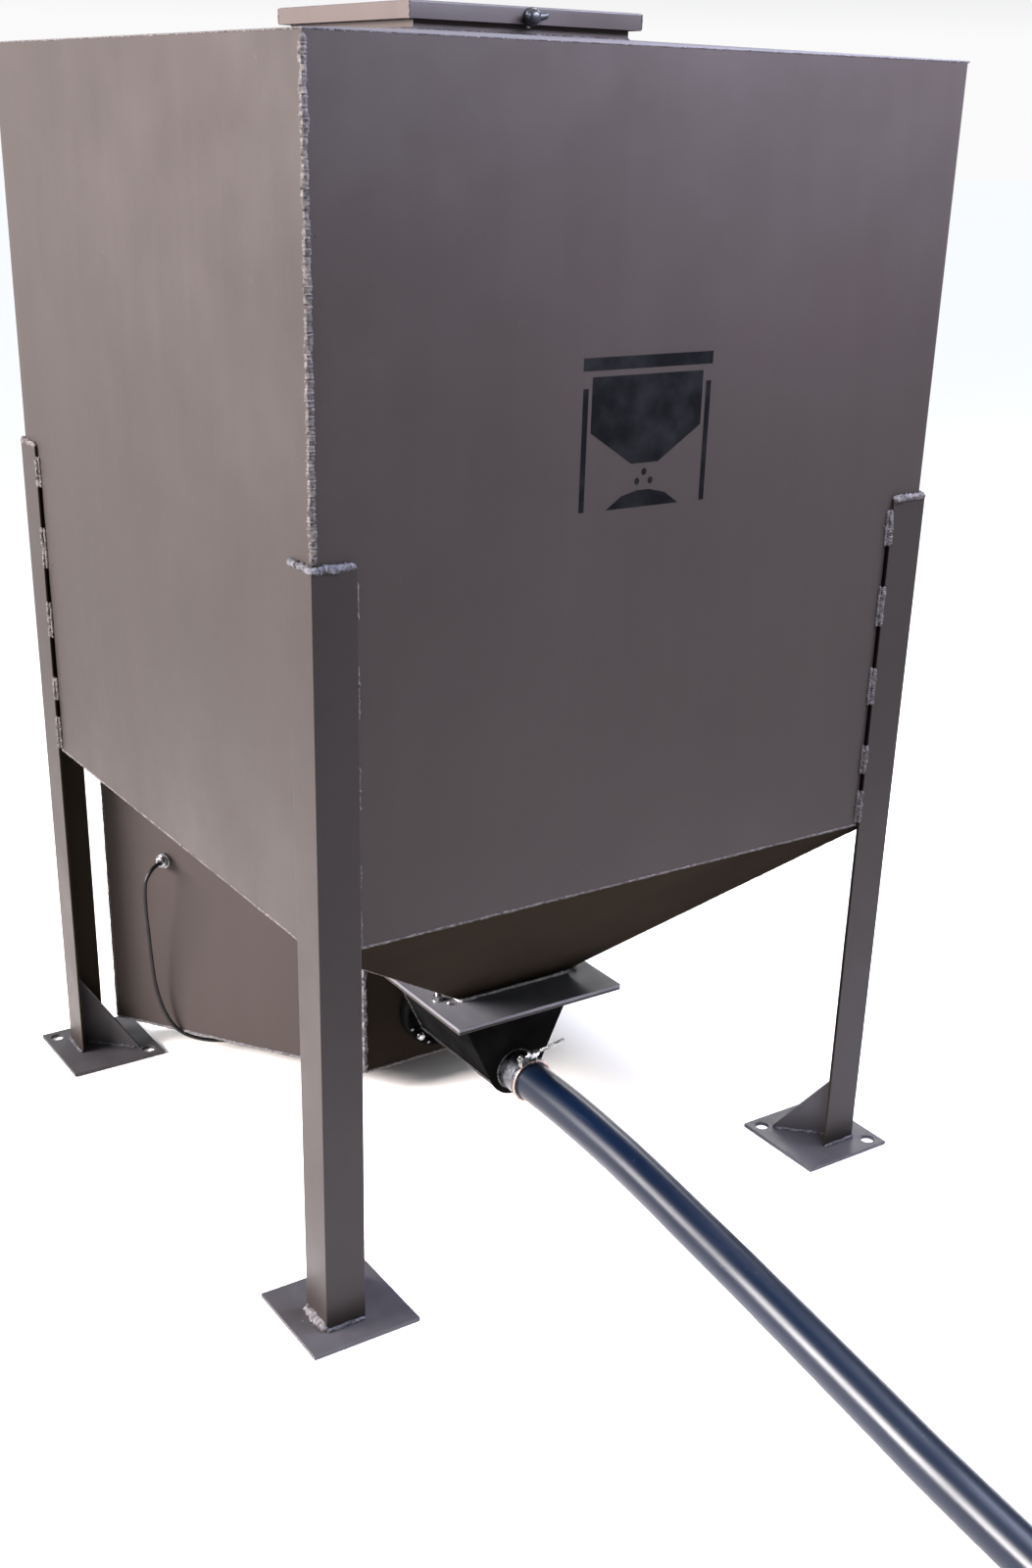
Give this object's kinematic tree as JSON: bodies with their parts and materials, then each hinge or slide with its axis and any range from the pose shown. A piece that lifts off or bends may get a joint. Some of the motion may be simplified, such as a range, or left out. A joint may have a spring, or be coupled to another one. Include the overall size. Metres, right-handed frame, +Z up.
{
  "type": "gravity game feeder",
  "caption": "Square sheet-steel grain hopper on angle-iron legs, with a screw housing under its sloped floor that feeds a black pipe",
  "frame": {"origin": "on the ground under the centre of the square hopper", "axes": "+Z up, -Y towards the face the pipe leaves from, +X to the right seen from there"},
  "size_m": [1.1086, 2.2993, 1.76],
  "materials": {
    "taupe_paint": "satin taupe metallic enamel",
    "black_paint": "satin black enamel",
    "zinc_steel": "bright zinc plate",
    "black_plastic": "moulded black nylon",
    "gasket_foam": "closed-cell foam",
    "polyethylene": "extruded black polyethylene",
    "cable_jacket": "smooth black jacket",
    "grommet_rubber": "matt black rubber",
    "battery_case": "textured black case",
    "positive_cap": "red cap",
    "negative_cap": "black cap",
    "controller_case": "grey moulded case",
    "rocker_plastic": "red switch cap",
    "button_plastic": "green button cap"
  },
  "bodies": {
    "stand": {"wall_sheet_front_right": "taupe_paint", "wall_sheet_rear_left": "taupe_paint", "roof_panel": "taupe_paint", "funnel_front": "taupe_paint", "funnel_right": "taupe_paint", "funnel_rear": "taupe_paint", "funnel_left": "taupe_paint", "fill_collar": "taupe_paint", "outlet_flange": "taupe_paint", "housing_flange": "taupe_paint", "box_left_panel": "taupe_paint", "box_front_sheet": "taupe_paint", "box_floor": "taupe_paint", "box_rear_frame": "taupe_paint", "leg_front_left": "taupe_paint", "leg_front_right": "taupe_paint", "leg_rear_left": "taupe_paint", "leg_rear_right": "taupe_paint", "foot_front_left": "taupe_paint", "foot_front_right": "taupe_paint", "foot_rear_left": "taupe_paint", "foot_rear_right": "taupe_paint", "housing_trough": "black_paint", "housing_front_plate": "black_paint", "housing_rear_plate": "black_paint", "gear_housing": "black_paint", "drive_motor": "black_paint", "lid_hinge_base": "zinc_steel", "lid_hinge_pin": "zinc_steel", "door_hinge_base": "zinc_steel", "door_hinge_pin": "zinc_steel", "flange_bolt_front_left": "zinc_steel", "flange_bolt_front_right": "zinc_steel", "flange_bolt_rear_left": "zinc_steel", "flange_bolt_rear_right": "zinc_steel", "outlet_spigot": "zinc_steel", "clamp_band": "zinc_steel", "clamp_bolt": "zinc_steel", "gear_bolt_left": "zinc_steel", "gear_bolt_right": "zinc_steel", "cable_gland": "zinc_steel", "pipe_coupling": "black_plastic", "outlet_pipe": "polyethylene", "motor_cable": "cable_jacket", "floor_grommet": "grommet_rubber", "battery": "battery_case", "battery_terminal_positive": "positive_cap", "battery_terminal_negative": "negative_cap", "controller": "controller_case"},
    "lid_body": {"lid": "taupe_paint", "lid_gasket": "gasket_foam", "lid_hinge_leaf": "zinc_steel"},
    "lid_latch_body": {"lid_knob": "black_plastic", "lid_pawl": "zinc_steel"},
    "auger_body": {"auger": "zinc_steel"},
    "door_body": {"box_door": "taupe_paint", "door_hinge_leaf": "zinc_steel"},
    "door_latch_body": {"door_latch": "zinc_steel"},
    "power_rocker_body": {"power_rocker": "rocker_plastic"},
    "test_button_body": {"test_button": "button_plastic"}
  },
  "joints": [
    {"name": "lid_hinge", "type": "hinge", "parent": "stand", "child": "lid_body", "pos_m": [0, 0.195, 1.744], "axis": [-1, 0, 0], "range_deg": [0, 110]},
    {"name": "lid_latch_turn", "type": "hinge", "parent": "lid_body", "child": "lid_latch_body", "pos_m": [0, -0.1885, 1.7475], "axis": [0, -1, 0], "range_deg": [0, 90]},
    {"name": "auger_spin", "type": "hinge", "parent": "stand", "child": "auger_body", "pos_m": [0, 0, 0.151], "axis": [0, -1, 0], "continuous": true},
    {"name": "door_hinge", "type": "hinge", "parent": "stand", "child": "door_body", "pos_m": [-0.321, 0.4858, 0.3], "axis": [0, 0, 1], "range_deg": [0, 110]},
    {"name": "door_latch_turn", "type": "hinge", "parent": "door_body", "child": "door_latch_body", "pos_m": [0.285, 0.4901, 0.3], "axis": [0, -1, 0], "range_deg": [0, 90]},
    {"name": "rocker_tilt", "type": "hinge", "parent": "stand", "child": "power_rocker_body", "pos_m": [-0.045, 0.1039, 0.262], "axis": [1, 0, 0], "range_deg": [-8, 8]},
    {"name": "test_button_press", "type": "slide", "parent": "stand", "child": "test_button_body", "axis": [0, -1, 0], "range_m": [0, 0.003], "stiffness_N_per_m": 300}
  ]
}
